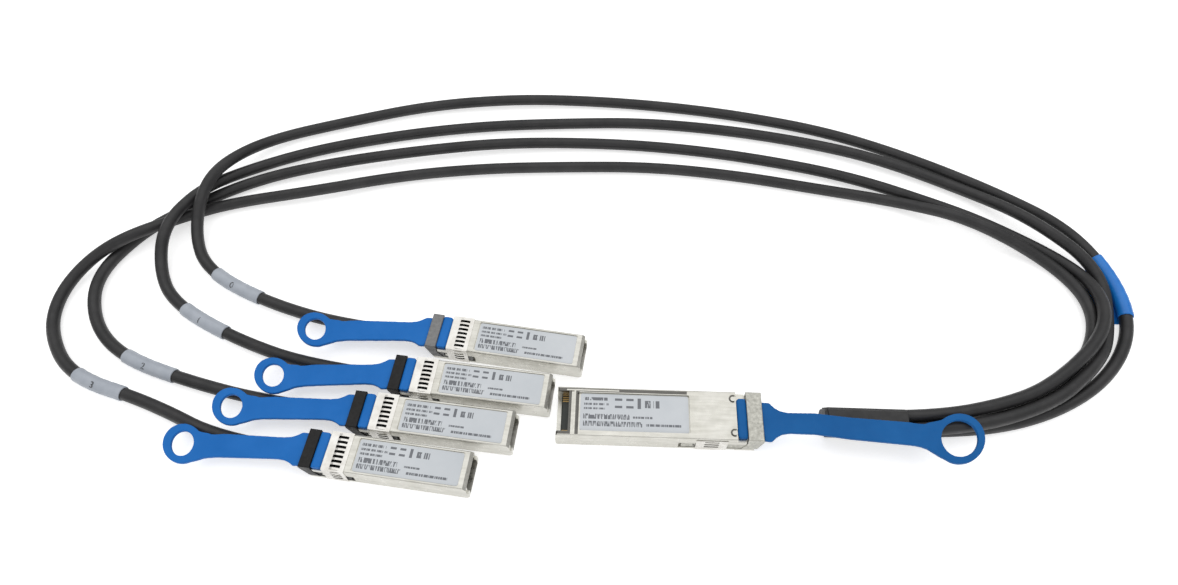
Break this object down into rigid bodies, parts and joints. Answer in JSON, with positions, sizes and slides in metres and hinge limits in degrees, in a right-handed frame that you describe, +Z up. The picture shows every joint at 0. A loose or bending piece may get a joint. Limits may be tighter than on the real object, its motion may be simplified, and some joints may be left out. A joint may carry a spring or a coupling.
{
  "type": "direct attach copper breakout cable",
  "caption": "Breakout patch cable: one wide transceiver plug fans out to narrow pluggable plugs over black twinax cables, each plug with a blue pull tab.",
  "frame": {"origin": "middle of the five plugs' footprint, on the table under them", "axes": "+Z up from the table, +X along the wide plug from its nose to its cable, +Y to the far side, where the loop of cables lies"},
  "size_m": [0.4192, 0.1884, 0.014],
  "materials": {
    "nickel_shell": "nickel-plated die casting, satin",
    "spring_steel": "plated sheet, satin",
    "circuit_board": "solder mask with gilt edge pads",
    "satin_nickel": "satin nickel with cast texture",
    "grey_slider": "light grey satin",
    "black_slider": "black satin",
    "dark_blue_rubber": "satin moulded elastomer",
    "blue_rubber": "satin moulded elastomer",
    "lever_metal": "stamped, satin",
    "flag_blue": "thin printed film",
    "label_paper": "printed polyester label",
    "marker_grey": "printed shrink sleeve",
    "cable_jacket": "matt black jacket",
    "boot_black": "matt black moulding",
    "shrink_black": "heat-shrink tubing"
  },
  "bodies": {
    "cable_set": {"bundle_boot": "boot_black", "bundle_sleeve": "shrink_black", "cable_0": "cable_jacket", "cable_1": "cable_jacket", "cable_2": "cable_jacket", "cable_3": "cable_jacket", "cable_marker_0": "marker_grey", "cable_marker_1": "marker_grey", "cable_marker_2": "marker_grey", "cable_marker_3": "marker_grey", "flag_label_flag": "flag_blue", "flag_label_wrap": "flag_blue", "qsfp_base_shell": "nickel_shell", "qsfp_contact_band": "spring_steel", "qsfp_label": "label_paper", "qsfp_paddle_card": "circuit_board", "qsfp_return_spring_left": "spring_steel", "qsfp_return_spring_right": "spring_steel", "qsfp_top_cover": "nickel_shell", "sfp0_base_shell": "nickel_shell", "sfp0_emi_spring_collar": "spring_steel", "sfp0_label": "label_paper", "sfp0_paddle_card": "circuit_board", "sfp0_return_spring": "spring_steel", "sfp0_top_cover": "nickel_shell", "sfp1_base_shell": "nickel_shell", "sfp1_emi_spring_collar": "spring_steel", "sfp1_label": "label_paper", "sfp1_paddle_card": "circuit_board", "sfp1_return_spring": "spring_steel", "sfp1_top_cover": "nickel_shell", "sfp2_base_shell": "nickel_shell", "sfp2_emi_spring_collar": "spring_steel", "sfp2_label": "label_paper", "sfp2_paddle_card": "circuit_board", "sfp2_return_spring": "spring_steel", "sfp2_top_cover": "nickel_shell", "sfp3_base_shell": "nickel_shell", "sfp3_emi_spring_collar": "spring_steel", "sfp3_label": "label_paper", "sfp3_paddle_card": "circuit_board", "sfp3_return_spring": "spring_steel", "sfp3_top_cover": "nickel_shell"},
    "sfp0_slider": {"sfp0_latch_slider": "grey_slider", "sfp0_pull_tab": "blue_rubber"},
    "sfp0_lever": {"sfp0_latch_lever": "lever_metal"},
    "sfp1_slider": {"sfp1_latch_slider": "black_slider", "sfp1_pull_tab": "blue_rubber"},
    "sfp1_lever": {"sfp1_latch_lever": "lever_metal"},
    "sfp2_slider": {"sfp2_latch_slider": "black_slider", "sfp2_pull_tab": "blue_rubber"},
    "sfp2_lever": {"sfp2_latch_lever": "lever_metal"},
    "sfp3_slider": {"sfp3_latch_slider": "black_slider", "sfp3_pull_tab": "blue_rubber"},
    "sfp3_lever": {"sfp3_latch_lever": "lever_metal"},
    "qsfp_slider": {"qsfp_latch_slider": "satin_nickel", "qsfp_pull_tab": "dark_blue_rubber"}
  },
  "joints": [
    {"name": "sfp0_pull", "type": "slide", "parent": "cable_set", "child": "sfp0_slider", "axis": [-0.9874, 0.1582, 0], "range_m": [0, 0.0025], "stiffness_N_per_m": 300, "springref_m": -0.001, "deforming": ["sfp0_return_spring"]},
    {"name": "sfp0_latch_pivot", "type": "hinge", "parent": "cable_set", "child": "sfp0_lever", "pos_m": [-0.02299, 0.02138, 0.0023], "axis": [0.1582, 0.9874, 0], "range_deg": [0, 3.4]},
    {"name": "sfp1_pull", "type": "slide", "parent": "cable_set", "child": "sfp1_slider", "axis": [-0.9912, 0.1323, 0], "range_m": [0, 0.0025], "stiffness_N_per_m": 300, "springref_m": -0.001, "deforming": ["sfp1_return_spring"]},
    {"name": "sfp1_latch_pivot", "type": "hinge", "parent": "cable_set", "child": "sfp1_lever", "pos_m": [-0.03459, 0.00475, 0.0023], "axis": [0.1323, 0.9912, 0], "range_deg": [0, 3.4]},
    {"name": "sfp2_pull", "type": "slide", "parent": "cable_set", "child": "sfp2_slider", "axis": [-0.991, 0.134, 0], "range_m": [0, 0.0025], "stiffness_N_per_m": 300, "springref_m": -0.001, "deforming": ["sfp2_return_spring"]},
    {"name": "sfp2_latch_pivot", "type": "hinge", "parent": "cable_set", "child": "sfp2_lever", "pos_m": [-0.04719, -0.0096, 0.0023], "axis": [0.134, 0.991, 0], "range_deg": [0, 3.4]},
    {"name": "sfp3_pull", "type": "slide", "parent": "cable_set", "child": "sfp3_slider", "axis": [-0.9895, 0.1444, 0], "range_m": [0, 0.0025], "stiffness_N_per_m": 300, "springref_m": -0.001, "deforming": ["sfp3_return_spring"]},
    {"name": "sfp3_latch_pivot", "type": "hinge", "parent": "cable_set", "child": "sfp3_lever", "pos_m": [-0.06085, -0.02441, 0.0023], "axis": [0.1444, 0.9895, 0], "range_deg": [0, 3.4]},
    {"name": "qsfp_pull", "type": "slide", "parent": "cable_set", "child": "qsfp_slider", "axis": [0.9994, -0.034, 0], "range_m": [0, 0.003], "stiffness_N_per_m": 400, "springref_m": -0.001, "deforming": ["qsfp_return_spring_left", "qsfp_return_spring_right"]}
  ],
  "couplings": [
    {"joint": "sfp0_latch_pivot", "follows": "sfp0_pull", "rad_per_m": 23},
    {"joint": "sfp1_latch_pivot", "follows": "sfp1_pull", "rad_per_m": 23},
    {"joint": "sfp2_latch_pivot", "follows": "sfp2_pull", "rad_per_m": 23},
    {"joint": "sfp3_latch_pivot", "follows": "sfp3_pull", "rad_per_m": 23}
  ]
}
